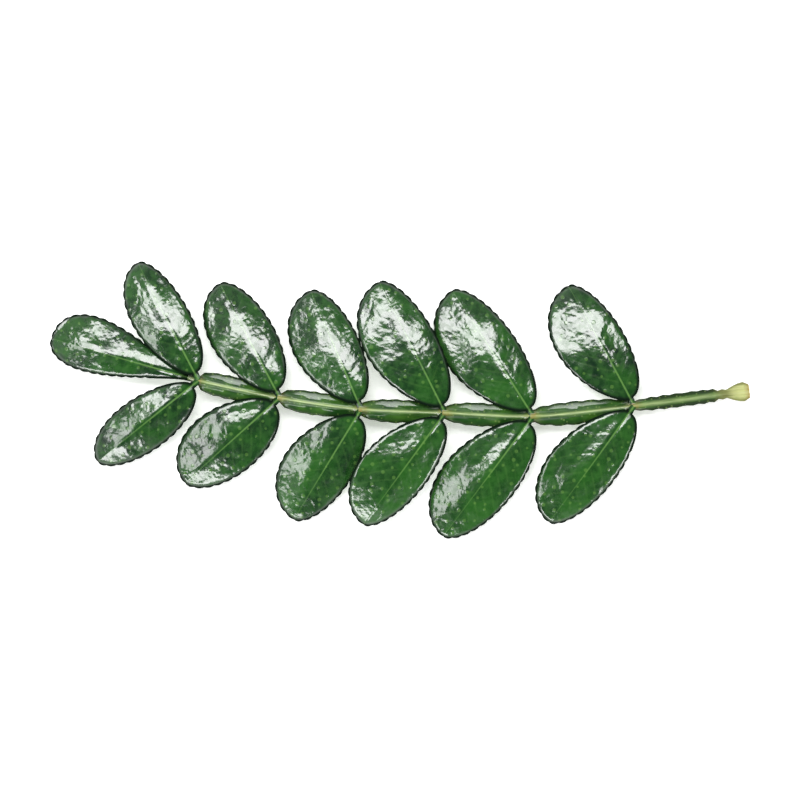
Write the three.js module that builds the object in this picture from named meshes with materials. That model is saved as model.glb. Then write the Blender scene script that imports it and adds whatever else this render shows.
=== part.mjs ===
// A cut pinnate sprig lying on a flat surface, upper side up.
//
// A winged rachis carries six pairs of leaflets and one end leaflet. Units are millimetres, +Z is up,
// the surface is z = 0, and +X points along the sprig towards its cut end. Headings are degrees
// anticlockwise from +X, seen from above.

import * as THREE from 'three';

// Driving dimensions of the rachis. Each stretch runs on from the one before, starting at the cut end,
// and crest is the height of the rib's upper side where the stretch ends.
const CUT_END = { x: 36.8, y: 0.96, crest: 0.93 };
const STRETCHES = [
	{ length: 2.4, heading: 187.3, crest: 0.93 },
	{ length: 9.9, heading: 187.3, crest: 1.8, node: 1 },
	{ length: 10.7, heading: 185.8, crest: 2.4, node: 2 },
	{ length: 9.25, heading: 177.8, crest: 2.75, node: 3 },
	{ length: 8.8, heading: 177.6, crest: 2.8, node: 4 },
	{ length: 8.6, heading: 172, crest: 2.65, node: 5 },
	{ length: 8.7, heading: 168, crest: 2.35, node: 6 },
	{ length: 1.2, heading: 164.2, crest: 2.3 },
];
const RIB_HALF = 0.32;
const RIB_FOOT = 0.42;
const RIB_SLOPE = 0.06;
const CHANNEL_DEPTH = 0.12;
const JOINT_HEIGHT = 0.3;
const JOINT_LENGTH = 0.8;
const KEEL_DEPTH = 1.3;
const WING_DROP = 0.28;
const WING_SAG = 0.2;
const WING_THICKNESS = 0.62;
const WING_ROOT_DEPTH = 0.08;
const WING_HALF = 1.28;
const WING_LEAN = 1.3;
const WING_BLUNTNESS = 0.4;
const WAIST_HALF = 0.46;
const PETIOLE_HALF = 0.78;
const PETIOLE_TAPER = 8;
const NECK_HALF = 0.28;
const WING_TEETH = 6;
const WING_TOOTH_DEPTH = 0.12;
const STEPS_PER_WING_TOOTH = 2;
const PLAIN_STEP = 0.6;

// Half breadths of the petiole at distances from its cut end: a rounded knob, a narrow neck, then its
// full breadth.
const PETIOLE_PROFILE = [
	{ from: 0, half: 0.85 },
	{ from: 0.4, half: 0.98 },
	{ from: 0.9, half: 1 },
	{ from: 1.5, half: 0.84 },
	{ from: 2.4, half: 0.6 },
	{ from: 4.2, half: 0.58 },
	{ from: 6.4, half: PETIOLE_HALF },
];

// Driving dimensions of the leaflets, from the pair next to the petiole to the pair at the end. tipHalf
// is the widest half breadth on the side that faces the end leaflet, and stemHalf the one on the side
// that faces the cut end. tip is the height of the upper face at the apex, arch is how far the midrib
// rises over its own chord, and roll is how steeply the blade climbs towards its tipHalf side.
const UPPER_LEAFLETS = [
	{ length: 13.65, heading: 118.4, tipHalf: 4.4, stemHalf: 2.55, tip: 0.68, arch: 0.85, roll: 0.02 },
	{ length: 14.95, heading: 122.5, tipHalf: 4.65, stemHalf: 2.75, tip: 0.68, arch: 0.85, roll: 0.02 },
	{ length: 14.65, heading: 116.6, tipHalf: 4.6, stemHalf: 2.65, tip: 1.7, arch: 1.25, roll: 0.12 },
	{ length: 12.85, heading: 113.1, tipHalf: 4.2, stemHalf: 2.55, tip: 0.71, arch: 0.75, roll: 0.13 },
	{ length: 12.9, heading: 117.9, tipHalf: 3.75, stemHalf: 2.75, tip: 0.68, arch: 0.85, roll: 0.04 },
	{ length: 13.3, heading: 117.7, tipHalf: 3.4, stemHalf: 2.35, tip: 1.2, arch: 1.0, roll: 0.11, lift: 0.75 },
];
const LOWER_LEAFLETS = [
	{ length: 14.4, heading: 234.1, tipHalf: 4.1, stemHalf: 2.8, tip: 0.68, arch: 1.0, roll: 0.05, lift: 0.7 },
	{ length: 15.05, heading: 233.4, tipHalf: 4.35, stemHalf: 3.15, tip: 0.68, arch: 0.9, roll: 0.04 },
	{ length: 13.8, heading: 233.8, tipHalf: 4.2, stemHalf: 2.65, tip: 2.1, arch: 1.2, roll: 0.15 },
	{ length: 12.9, heading: 238.6, tipHalf: 4.3, stemHalf: 2.8, tip: 0.71, arch: 0.65, roll: 0.14 },
	{ length: 12.75, heading: 221.7, tipHalf: 4.0, stemHalf: 3.2, tip: 0.67, arch: 0.85, roll: 0.04 },
	{ length: 13.0, heading: 218.5, tipHalf: 2.85, stemHalf: 2.7, tip: 1.0, arch: 0.85, roll: 0.04, lift: 0.75 },
];
const END_LEAFLET = { length: 15.1, heading: 164.2, tip: 0.7, arch: 0.85, roll: 0, lift: 0 };
const END_RIGHT_HALF = 3.5;
const END_LEFT_HALF = 2.35;

const BASE_OFFSET = 0.85;
const END_BASE_OFFSET = 1.3;
const BASE_LIFT = 0.55;
const STALK_HALF = 0.35;
const BLADE_THICKNESS = 0.66;
const CAMBER = 0.8;
const CAMBER_GROWTH = 0.45;
const GROOVE_DEPTH = 0.14;
const GROOVE_HALF = 1;
const TEETH_PER_LENGTH = 0.85;
const TOOTH_DEPTH = 0.17;
const SMOOTH_SHARE = 0.2;
const SMOOTH_ROWS = 4;
const ROWS_PER_TOOTH = 3;
const COLUMN_SHARES = [-1, -0.55, 0, 0.55, 1];

// Where a half blade is fullest along its length, and how bluntly it closes at the apex.
const TIP_SIDE_SHAPE = { fullest: 0.6, closing: 0.5 };
const STEM_SIDE_SHAPE = { fullest: 0.49, closing: 0.56 };
const END_SHAPE = { fullest: 0.74, closing: 0.45 };

const leafMaterial = new THREE.MeshStandardMaterial({ color: 0x2f5c2c, roughness: 0.28, metalness: 0 });
const rachisMaterial = new THREE.MeshStandardMaterial({ color: 0x6b9152, roughness: 0.4, metalness: 0 });

// A step in the plane, from a heading in degrees.
function along(heading, distance) {
	const angle = THREE.MathUtils.degToRad(heading);
	return new THREE.Vector2(Math.cos(angle), Math.sin(angle)).multiplyScalar(distance);
}

// Blunt teeth: nothing at a tooth's crown, and the full depth in the notch between two teeth.
function toothNotch(share, teeth, depth) {
	return depth * (1 - Math.abs(Math.sin(Math.PI * teeth * share)));
}

// One margin of a leaflet from its base to its apex, along +X, without its teeth.
class HalfMargin extends THREE.Curve {
	constructor(length, half, shape) {
		super();
		this.length = length;
		this.half = half;
		this.shape = shape;
		this.teeth = Math.round(length * TEETH_PER_LENGTH);
	}

	getPoint(t, target = new THREE.Vector2()) {
		const share = Math.sin((t * Math.PI) / 2);
		const { fullest, closing } = this.shape;
		const opening = (closing * fullest) / (1 - fullest);
		const peak = fullest ** opening * (1 - fullest) ** closing;
		const breadth = (share ** opening * (1 - share) ** closing) / peak;
		return target.set(share * this.length, this.half * breadth + STALK_HALF * (1 - share));
	}

	// The toothed margin at a share of the way round, on the left (side 1) or the right (side -1).
	toothedPoint(share, side) {
		const point = this.getPointAt(share);
		const tangent = this.getTangentAt(share);
		const toothed = Math.max(0, (share - SMOOTH_SHARE) / (1 - SMOOTH_SHARE));
		const growing = Math.min(1, toothed * this.teeth);
		const notch = growing * toothNotch(toothed, this.teeth, TOOTH_DEPTH);
		return new THREE.Vector2(point.x + tangent.y * notch, side * (point.y - tangent.x * notch));
	}
}

// A closed solid between an upper grid and a lower one that is split in the same way. The grid's last
// row is a single point, and point(face, row, column) gives its corners: face 0 above, face 1 below.
function bladeGeometry(rows, columns, point) {
	const perFace = rows * (columns + 1) + 1;
	const at = (face, row, column) => face * perFace + row * (columns + 1) + (row === rows ? 0 : column);
	const positions = [];
	for (const face of [0, 1]) {
		for (let row = 0; row < rows; row++) {
			for (let column = 0; column <= columns; column++) positions.push(...point(face, row, column));
		}
		positions.push(...point(face, rows, 0));
	}

	const triangles = [];
	const add = (a, b, c) => {
		if (a !== b && b !== c && c !== a) triangles.push(a, b, c);
	};
	for (let row = 0; row < rows; row++) {
		for (let column = 0; column < columns; column++) {
			const [a, b] = [at(0, row, column), at(0, row + 1, column)];
			const [c, d] = [at(0, row + 1, column + 1), at(0, row, column + 1)];
			add(a, b, c);
			add(a, c, d);
			add(a + perFace, c + perFace, b + perFace);
			add(a + perFace, d + perFace, c + perFace);
		}
	}

	const rim = [];
	for (let row = 0; row <= rows; row++) rim.push(at(0, row, 0));
	for (let row = rows - 1; row >= 0; row--) rim.push(at(0, row, columns));
	for (let column = columns - 1; column > 0; column--) rim.push(at(0, 0, column));
	rim.forEach((corner, i) => {
		const next = rim[(i + 1) % rim.length];
		add(corner + perFace, next + perFace, next);
		add(corner + perFace, next, corner);
	});
	return indexedGeometry(positions, triangles);
}

// A closed solid swept through rings of corners that all have the same count, with a flat cap at each end.
function sweptGeometry(rings) {
	const size = rings[0].length;
	const triangles = [];
	for (let ring = 0; ring < rings.length - 1; ring++) {
		for (let corner = 0; corner < size; corner++) {
			const next = (corner + 1) % size;
			const [a, b] = [ring * size + corner, ring * size + next];
			triangles.push(a, b + size, b, a, a + size, b + size);
		}
	}
	const last = (rings.length - 1) * size;
	for (let corner = 1; corner < size - 1; corner++) {
		triangles.push(0, corner, corner + 1);
		triangles.push(last, last + corner + 1, last + corner);
	}
	return indexedGeometry(rings.flat(2), triangles);
}

function indexedGeometry(positions, triangles) {
	const geometry = new THREE.BufferGeometry();
	geometry.setAttribute('position', new THREE.Float32BufferAttribute(positions, 3));
	geometry.setIndex(triangles);
	geometry.computeVertexNormals();
	return geometry;
}

// How far round a half margin each row of a leaflet's grid ends: a few rows, then some on each tooth.
function rowShares(teeth) {
	const shares = [];
	for (let row = 0; row < SMOOTH_ROWS; row++) shares.push((SMOOTH_SHARE * row) / SMOOTH_ROWS);
	const toothRows = teeth * ROWS_PER_TOOTH;
	for (let row = 0; row <= toothRows; row++) {
		shares.push(SMOOTH_SHARE + ((1 - SMOOTH_SHARE) * row) / toothRows);
	}
	return shares;
}

// A leaflet whose base is at the origin of its mesh and whose midrib runs along the mesh's +X.
function leaflet(name, { length, tip, arch }, left, right, climb, baseHeight) {
	const shares = rowShares(left.teeth);
	const apex = left.toothedPoint(1, 1).x;
	const widest = Math.max(left.half, right.half);
	const height = (x, y) => {
		const share = x / length;
		const chord = (tip - baseHeight) * share;
		const rise = 4 * arch * share * (1 - share);
		const camber = CAMBER * Math.min(1, share / CAMBER_GROWTH) * (y / widest) ** 2;
		const groove = GROOVE_DEPTH * Math.max(0, 1 - Math.abs(y) / GROOVE_HALF);
		return chord + rise + climb * y - camber - groove;
	};
	const point = (face, row, column) => {
		const across = COLUMN_SHARES[column];
		const side = across < 0 ? -1 : 1;
		const margin = (side < 0 ? right : left).toothedPoint(shares[row], side);
		const midrib = new THREE.Vector2(apex * shares[row], 0);
		const { x, y } = midrib.lerp(margin, Math.abs(across));
		const upper = height(x, y);
		return [x, y, face === 0 ? upper : Math.max(upper - BLADE_THICKNESS, -baseHeight)];
	};
	const geometry = bladeGeometry(shares.length - 1, COLUMN_SHARES.length - 1, point);
	const mesh = new THREE.Mesh(geometry, leafMaterial.clone());
	mesh.name = name;
	return mesh;
}

// The rachis's course: the place of the cut end and of the end of each stretch.
function rachisCourse() {
	const place = new THREE.Vector2(CUT_END.x, CUT_END.y);
	const places = [new THREE.Vector3(place.x, place.y, CUT_END.crest)];
	for (const { length, heading, crest } of STRETCHES) {
		place.add(along(heading, length));
		places.push(new THREE.Vector3(place.x, place.y, crest));
	}
	return places;
}

// Half breadth of the petiole at a distance from the cut end, between the profile's given places.
function petioleHalf(distance) {
	const next = PETIOLE_PROFILE.findIndex(({ from }) => from > distance);
	if (next < 0) return PETIOLE_HALF;
	const [before, after] = [PETIOLE_PROFILE[next - 1], PETIOLE_PROFILE[next]];
	return THREE.MathUtils.mapLinear(distance, before.from, after.from, before.half, after.half);
}

// Half breadth of the rachis at a share of the way along one stretch.
function rachisHalf(index, share) {
	const { lerp } = THREE.MathUtils;
	if (index === 0) return petioleHalf(share * STRETCHES[0].length);
	if (index === 1) {
		const petiole = petioleHalf(STRETCHES[0].length + share * STRETCHES[1].length);
		return lerp(petiole, WAIST_HALF, share ** PETIOLE_TAPER);
	}
	if (index === STRETCHES.length - 1) return lerp(WAIST_HALF, NECK_HALF, Math.min(1, share * 2));
	const fullness = Math.sin(Math.PI * share ** WING_LEAN) ** WING_BLUNTNESS;
	const notch = toothNotch(share, WING_TEETH, WING_TOOTH_DEPTH);
	return Math.max(WAIST_HALF, WAIST_HALF + (WING_HALF - WAIST_HALF) * fullness - notch);
}

// How much the rib swells into a joint near the end of a stretch that ends at a node.
function jointSwelling(distance) {
	return Math.max(0, 1 - (distance / JOINT_LENGTH) ** 2);
}

// The rachis's cross-section, round from the top of its channel and down the left side, as [side, height].
function rachisSection(half, swelling) {
	const foot = Math.min(RIB_FOOT, half - RIB_SLOPE / 2);
	const crest = JOINT_HEIGHT * swelling;
	const edge = -WING_DROP - WING_SAG * Math.min(1, (half - foot) / WING_HALF);
	const left = [
		[Math.min(RIB_HALF, foot - RIB_SLOPE), crest],
		[foot, -WING_DROP],
		[half, edge],
		[half, edge - WING_THICKNESS],
		[foot, -WING_DROP - WING_THICKNESS - WING_ROOT_DEPTH],
	];
	const right = left.map(([side, height]) => [-side, height]).reverse();
	return [[0, crest - CHANNEL_DEPTH * (1 - swelling)], ...left, [0, -KEEL_DEPTH], ...right];
}

function wingedRachis(course) {
	const curve = new THREE.CatmullRomCurve3(course, false, 'centripetal');
	const rings = [];
	STRETCHES.forEach(({ length, node }, index) => {
		const isLast = index === STRETCHES.length - 1;
		const steps = node > 1 ? WING_TEETH * STEPS_PER_WING_TOOTH : Math.ceil(length / PLAIN_STEP);
		for (let step = 0; step <= (isLast ? steps : steps - 1); step++) {
			const share = step / steps;
			const at = (index + share) / STRETCHES.length;
			const centre = curve.getPoint(at);
			const tangent = curve.getTangent(at);
			const side = new THREE.Vector2(-tangent.y, tangent.x).normalize();
			const before = STRETCHES[index - 1]?.node ? share * length : Infinity;
			const after = node ? (1 - share) * length : Infinity;
			const swelling = jointSwelling(Math.min(before, after));
			rings.push(rachisSection(rachisHalf(index, share), swelling).map(([offset, height]) => [
				centre.x + side.x * offset,
				centre.y + side.y * offset,
				Math.max(0, centre.z + height),
			]));
		}
	});
	const mesh = new THREE.Mesh(sweptGeometry(rings), rachisMaterial);
	mesh.name = 'winged_rachis';
	return mesh;
}

// Puts a leaflet's base beside its node, on the side that its heading points to.
function placeAtNode(mesh, node, heading, offset, baseHeight) {
	const step = along(heading, offset);
	mesh.position.set(node.x + step.x, node.y + step.y, baseHeight);
	mesh.rotation.z = THREE.MathUtils.degToRad(heading);
	return mesh;
}

// One leaflet of each pair. The end leaflet's side is the left one of an upper leaflet's midrib, and
// the right one of a lower leaflet's.
function sideLeaflet(name, data, node, tipSideIsLeft) {
	const baseHeight = node.z + (data.lift ?? BASE_LIFT);
	const tipSide = new HalfMargin(data.length, data.tipHalf, TIP_SIDE_SHAPE);
	const stemSide = new HalfMargin(data.length, data.stemHalf, STEM_SIDE_SHAPE);
	const mesh = tipSideIsLeft
		? leaflet(name, data, tipSide, stemSide, data.roll, baseHeight)
		: leaflet(name, data, stemSide, tipSide, -data.roll, baseHeight);
	return placeAtNode(mesh, node, data.heading, BASE_OFFSET, baseHeight);
}

function endLeaflet(node) {
	const baseHeight = node.z + END_LEAFLET.lift;
	const left = new HalfMargin(END_LEAFLET.length, END_LEFT_HALF, END_SHAPE);
	const right = new HalfMargin(END_LEAFLET.length, END_RIGHT_HALF, END_SHAPE);
	const mesh = leaflet('terminal_leaflet', END_LEAFLET, left, right, END_LEAFLET.roll, baseHeight);
	return placeAtNode(mesh, node, END_LEAFLET.heading, END_BASE_OFFSET, baseHeight);
}

const course = rachisCourse();
const nodePlace = (node) => course[STRETCHES.findIndex((stretch) => stretch.node === node) + 1];

const sprig = new THREE.Group();
sprig.add(wingedRachis(course));
sprig.add(endLeaflet(nodePlace(LOWER_LEAFLETS.length)));
UPPER_LEAFLETS.forEach((data, i) => {
	sprig.add(sideLeaflet(`leaflet_upper_${i + 1}`, data, nodePlace(i + 1), true));
});
LOWER_LEAFLETS.forEach((data, i) => {
	sprig.add(sideLeaflet(`leaflet_lower_${i + 1}`, data, nodePlace(i + 1), false));
});

export default sprig;
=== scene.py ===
"""A cut pinnate sprig on a pale floor: its leaflets and winged rachis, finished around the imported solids.

Shapes are worked out in millimetres and written in metres. +X points along the sprig to its cut end, +Z is
up from the floor, and headings are degrees anticlockwise from +X, seen from above.
"""
import logging
import math
from dataclasses import dataclass, field
from enum import Enum
from typing import Any, Mapping

import bpy
import numpy as np
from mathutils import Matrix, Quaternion, Vector


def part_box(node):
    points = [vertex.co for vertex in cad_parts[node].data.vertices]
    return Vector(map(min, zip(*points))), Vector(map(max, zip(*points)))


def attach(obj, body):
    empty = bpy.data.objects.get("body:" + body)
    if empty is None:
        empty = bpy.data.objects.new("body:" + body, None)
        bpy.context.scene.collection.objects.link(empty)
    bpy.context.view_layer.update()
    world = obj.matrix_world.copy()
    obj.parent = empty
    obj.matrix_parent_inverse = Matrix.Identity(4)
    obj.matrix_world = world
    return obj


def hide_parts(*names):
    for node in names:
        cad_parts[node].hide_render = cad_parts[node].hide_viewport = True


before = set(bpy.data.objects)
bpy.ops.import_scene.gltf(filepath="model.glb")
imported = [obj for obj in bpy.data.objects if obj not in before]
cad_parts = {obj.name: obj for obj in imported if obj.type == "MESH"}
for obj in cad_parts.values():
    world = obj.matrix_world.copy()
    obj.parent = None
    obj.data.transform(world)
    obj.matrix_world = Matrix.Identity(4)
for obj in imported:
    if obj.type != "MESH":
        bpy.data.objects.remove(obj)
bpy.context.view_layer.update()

BODY = "root"
MM = 0.001
UV_SPAN = 20.0
VECTOR, FLOAT = "NodeSocketVector", "NodeSocketFloat"
LOG = logging.getLogger("sprig")

Array = np.ndarray
Piece = bpy.types.Object
Mesh = bpy.types.Mesh
Material = bpy.types.Material
Tree = bpy.types.NodeTree
Node = bpy.types.Node
Socket = bpy.types.NodeSocket
Value = Any
Inputs = Mapping[str | int, Any]
Colour = tuple[float, float, float, float]


def smooth_step(value: Array, low: float, high: float) -> Array:
    """Rises smoothly from 0 at low to 1 at high."""
    share = np.clip((value - low) / (high - low), 0.0, 1.0)
    return share * share * (3.0 - 2.0 * share)


def hump(value: Array | float, reach: Array | float) -> Array:
    """Falls smoothly from 1 at 0 to about a third at the reach."""
    return np.exp(-((value / reach) ** 2))


def even_place(value: Array, count: int) -> Array:
    """Which of so many even places from -0.5 to 0.5 each value lies on."""
    return np.rint((value + 0.5) * (count - 1)).astype(int)


def read_values(items: Any, name: str, width: int = 1, kind: type = float) -> Array:
    """Reads one value of each of a mesh's items.

    Args:
        items: the mesh's vertices, loops or the like.
        name: the value's name.
        width: how many numbers it has.
        kind: the type of its numbers.

    Returns:
        The numbers, one row to an item where there are several.
    """
    values = np.empty(len(items) * width, dtype=kind)
    items.foreach_get(name, values)
    return values.reshape(-1, width) if width > 1 else values


def begin_piece(name: str) -> Piece:
    """Names the primitive that was just added and its mesh."""
    piece = bpy.context.active_object
    piece.name = piece.data.name = name
    return piece


def weld(piece: Piece) -> None:
    """Joins the corners that lie on one place, and leaves the piece in edit mode with all selected."""
    bpy.context.view_layer.objects.active = piece
    bpy.ops.object.mode_set(mode="EDIT")
    bpy.ops.mesh.select_all(action="SELECT")
    bpy.ops.mesh.remove_doubles(threshold=0.0005 * MM)


def write_surface(mesh: Mesh, uv_map: str, places: Array, marks: Mapping[str, Array]) -> None:
    """Writes a mesh's only UV map and the attributes that its finish reads.

    Args:
        mesh: the mesh.
        uv_map: the map's name.
        places: each vertex's place on the skin, in millimetres.
        marks: each attribute's values by its name.
    """
    for layer in list(mesh.uv_layers):
        mesh.uv_layers.remove(layer)
    corners = (places / UV_SPAN)[read_values(mesh.loops, "vertex_index", kind=int)]
    mesh.uv_layers.new(name=uv_map).data.foreach_set("uv", corners.ravel())
    for name, values in marks.items():
        mesh.attributes.new(name, "FLOAT", "POINT").data.foreach_set("value", values.astype(float).ravel())


def direction(heading: float) -> Array:
    """A unit step in the plane, from a heading in degrees."""
    return np.array([math.cos(math.radians(heading)), math.sin(math.radians(heading))])


class Row(Enum):
    """The side of the rachis that a leaflet stands on."""

    UPPER = "upper"
    LOWER = "lower"


class Graph:
    """A node tree that is built by short calls."""

    def __init__(self, tree: Tree) -> None:
        self.tree = tree

    def feed(self, socket: Socket, value: Value) -> None:
        """Links a socket or sets a plain value on an input.

        Args:
            socket: the input.
            value: an output socket, or the plain value.
        """
        if isinstance(value, Socket):
            self.tree.links.new(value, socket)
        else:
            socket.default_value = value

    def fill(self, node: Node, inputs: Inputs) -> None:
        """Links or sets several of a node's inputs."""
        for name, value in inputs.items():
            self.feed(node.inputs[name], value)

    def add(self, kind: str, inputs: Inputs | None = None, **settings: Value) -> Node:
        """Adds a node.

        Args:
            kind: the node's type name.
            inputs: values or sockets by input name or number.
            settings: attributes to set on the node, such as its operation.

        Returns:
            The new node.
        """
        node = self.tree.nodes.new(kind)
        for name, value in settings.items():
            setattr(node, name, value)
        self.fill(node, inputs or {})
        return node

    def math(self, operation: str, *values: Value, clamp: bool = False) -> Socket:
        """One math node over one to three values."""
        node = self.add("ShaderNodeMath", dict(enumerate(values)), operation=operation, use_clamp=clamp)
        return node.outputs[0]

    def ramp(self, value: Value, low: Value, high: Value, start: Value = 0.0, end: Value = 1.0) -> Socket:
        """Maps a value smoothly onto another range.

        Args:
            value: what is mapped.
            low: where its range begins.
            high: where its range ends.
            start: the result at low.
            end: the result at high.

        Returns:
            The mapped value.
        """
        inputs = {0: value, 1: low, 2: high, 3: start, 4: end}
        node = self.add("ShaderNodeMapRange", inputs, interpolation_type="SMOOTHSTEP")
        return node.outputs[0]

    def blend(self, share: Value, first: Value, second: Value) -> Socket:
        """Mixes two colours."""
        node = self.add("ShaderNodeMix", {0: share, 6: first, 7: second}, data_type="RGBA")
        return node.outputs[2]

    def times(self, first: Value, second: Value) -> Socket:
        """Multiplies two values."""
        return self.math("MULTIPLY", first, second)

    def attribute(self, name: str) -> Socket:
        """Reads one of the mesh's attributes."""
        return self.add("ShaderNodeAttribute", attribute_name=name).outputs["Fac"]

    def uv_place(self, uv_map: str) -> Socket:
        """The place on a piece's skin in millimetres, from its UV map."""
        uv = self.add("ShaderNodeUVMap", uv_map=uv_map).outputs["UV"]
        return self.add("ShaderNodeVectorMath", {0: uv, "Scale": UV_SPAN}, operation="SCALE").outputs[0]

    def noise(self, place: Socket, scale: Value, detail: float, **more: float) -> Socket:
        """A noise texture's value."""
        inputs = {"Vector": place, "Scale": scale, "Detail": detail, **more}
        return self.add("ShaderNodeTexNoise", inputs).outputs["Fac"]

    def bump(self, height: Socket, depth: float, strength: float = 1.0) -> Socket:
        """A normal bent by a height whose full step is so many millimetres deep."""
        inputs = {"Height": height, "Distance": depth * MM, "Strength": strength}
        return self.add("ShaderNodeBump", inputs).outputs["Normal"]

    def place_effect(self, tree: Tree, inputs: Inputs) -> Mapping[str, Socket]:
        """Places a shared group with this material's own values, and gives its outputs."""
        return self.add("ShaderNodeGroup", inputs, node_tree=tree).outputs


def new_effect(
    name: str, takes: Mapping[str, float | None], gives: tuple[str, ...]
) -> tuple[Graph, Any, Any]:
    """Starts a shared shader group, whose results are single values.

    Args:
        name: the group's name.
        takes: each input's value when it isn't fed, or None for a place.
        gives: the names of its results.

    Returns:
        Its graph, the sockets that it is given and the sockets for its results.
    """
    tree = bpy.data.node_groups.new(name, "ShaderNodeTree")
    for taken, value in takes.items():
        kind = VECTOR if value is None else FLOAT
        socket = tree.interface.new_socket(taken, in_out="INPUT", socket_type=kind)
        if value is not None:
            socket.default_value = value
    for given in gives:
        tree.interface.new_socket(given, in_out="OUTPUT", socket_type=FLOAT)
    graph = Graph(tree)
    return graph, graph.add("NodeGroupInput").outputs, graph.add("NodeGroupOutput").inputs


class SharedEffects:
    """The shader groups that more than one of the sprig's finishes place, each built once."""

    def __init__(self) -> None:
        self.mottle = self.build_mottle()
        self.oil_dots = self.build_oil_dots()
        self.wax_skin = self.build_wax_skin()
        self.blade_marks = self.build_blade_marks()

    @staticmethod
    def build_mottle() -> Tree:
        """Soft cloudy patches at two scales, as chlorophyll lies in a leaf.

        Returns:
            The group, which gives the patches and the flecks.
        """
        takes = {"Place": None, "Patch Scale": 0.3, "Fleck Scale": 1.4}
        graph, given, result = new_effect("leaf_mottle", takes, ("Patches", "Flecks"))
        for scale, detail, name in (("Patch Scale", 3.0, "Patches"), ("Fleck Scale", 5.0, "Flecks")):
            noise = graph.noise(given["Place"], given[scale], detail)
            graph.feed(result[name], graph.ramp(noise, 0.34, 0.68))
        return graph.tree

    @staticmethod
    def build_oil_dots() -> Tree:
        """Round oil glands scattered through the blade, each with a soft edge.

        Returns:
            The group, which gives the dots' mask.
        """
        takes = {"Place": None, "Dots Per Length": 1.0, "Radius": 0.14}
        graph, given, result = new_effect("oil_dots", takes, ("Dots",))
        sizes = {"Vector": given["Place"], "Scale": given["Dots Per Length"], "Randomness": 0.9}
        cells = graph.add("ShaderNodeTexVoronoi", sizes, voronoi_dimensions="2D").outputs
        radius = graph.times(given["Radius"], graph.ramp(cells["Color"], 0.0, 1.0, 0.55, 1.0))
        dots = graph.ramp(cells["Distance"], graph.times(radius, 0.55), radius, 1.0, 0.0)
        graph.feed(result["Dots"], dots)
        return graph.tree

    @staticmethod
    def build_wax_skin() -> Tree:
        """Wrinkles and shallow pits of a waxy leaf skin.

        Returns:
            The group, which gives one height.
        """
        takes = {"Place": None, "Wrinkle Scale": 0.55, "Pit Scale": 2.2}
        graph, given, result = new_effect("wax_skin", takes, ("Height",))
        place = given["Place"]
        wrinkles = graph.noise(place, given["Wrinkle Scale"], 2.5, Roughness=0.45, Distortion=0.3)
        pits = graph.noise(place, given["Pit Scale"], 1.0)
        graph.feed(result["Height"], graph.math("MULTIPLY_ADD", pits, 0.13, wrinkles))
        return graph.tree

    @staticmethod
    def build_blade_marks() -> Tree:
        """Marks that follow a leaflet's own form: its side veins, midrib, a painted shade along its
        outline, and its waxed middle.

        Returns:
            The group, which gives one mask for each.
        """
        takes = {"Along": 0.0, "Across": 0.0, "Edge": 1.0}
        gives = ("Side Veins", "Midrib", "Painted Edge Shade", "Waxed")
        graph, given, result = new_effect("blade_marks", takes, gives)
        along, edge = given["Along"], given["Edge"]
        across = graph.math("ABSOLUTE", given["Across"])
        width = graph.ramp(along, 0.0, 14.0, 0.13, 0.06)
        line = graph.ramp(across, graph.times(width, 0.4), width, 1.0, 0.0)
        veins = VEINS.shade(graph, along, given["Across"])
        masks = {
            "Side Veins": graph.times(veins, graph.ramp(edge, 0.4, 1.4)),
            "Midrib": graph.times(line, graph.ramp(along, 2.0, 12.0, 0.6, 0.2)),
            # painted shade: strongest at the margin and fading about half a millimetre inwards
            "Painted Edge Shade": graph.ramp(edge, 0.12, 0.48, 1.0, 0.0),
            "Waxed": graph.times(graph.ramp(edge, 0.16, 0.34), graph.ramp(along, 0.0, 1.6, 0.2, 1.0)),
        }
        for name, mask in masks.items():
            graph.feed(result[name], mask)
        return graph.tree


def new_material(name: str) -> tuple[Material, Graph, Node]:
    """Makes an empty material.

    Args:
        name: the material's name.

    Returns:
        The material, its graph and its Principled shader, which is linked to the output.
    """
    material = bpy.data.materials.new(name)
    material.use_nodes = True
    material.node_tree.nodes.clear()
    graph = Graph(material.node_tree)
    shader = graph.add("ShaderNodeBsdfPrincipled")
    output = graph.add("ShaderNodeOutputMaterial")
    graph.feed(output.inputs["Surface"], shader.outputs["BSDF"])
    return material, graph, shader


@dataclass(frozen=True)
class VeinPattern:
    """The side veins' course, shared by the blade's shape and its colour. Lengths are in millimetres."""

    spacing: float = 1.3
    lean: float = 0.72
    curl: float = 0.07
    width: float = 0.13

    def strength(self, x: Array, y: Array) -> Array:
        """How strongly a side vein shows.

        Args:
            x: places along the midrib.
            y: places across it.

        Returns:
            The strengths, from 0 to 1.
        """
        across = np.abs(y)
        course = (x - self.lean * across - self.curl * across**2) / self.spacing + 0.5 * (y > 0)
        distance = np.abs(course - np.round(course)) * self.spacing * 0.8
        return hump(distance, self.width) * smooth_step(across, 0.1, 0.5)

    def shade(self, graph: Graph, x: Socket, y: Socket) -> Socket:
        """The same strength as a chain of shader nodes.

        Args:
            graph: where the nodes go.
            x: the place along the midrib.
            y: the place across it.

        Returns:
            The strength, from 0 to 1.
        """
        across = graph.math("ABSOLUTE", y)
        bend = graph.math("MULTIPLY_ADD", across, self.curl, self.lean)
        run = graph.math("SUBTRACT", x, graph.times(across, bend))
        half = graph.times(graph.math("GREATER_THAN", y, 0.0), 0.5)
        course = graph.math("ADD", graph.math("DIVIDE", run, self.spacing), half)
        distance = graph.math("ABSOLUTE", graph.math("SUBTRACT", course, graph.math("ROUND", course)))
        edge = self.width / self.spacing
        line = graph.ramp(distance, 0.3 * edge, 1.6 * edge, 1.0, 0.0)
        return graph.times(line, graph.ramp(across, 0.1, 0.5))


VEINS = VeinPattern()


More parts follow.
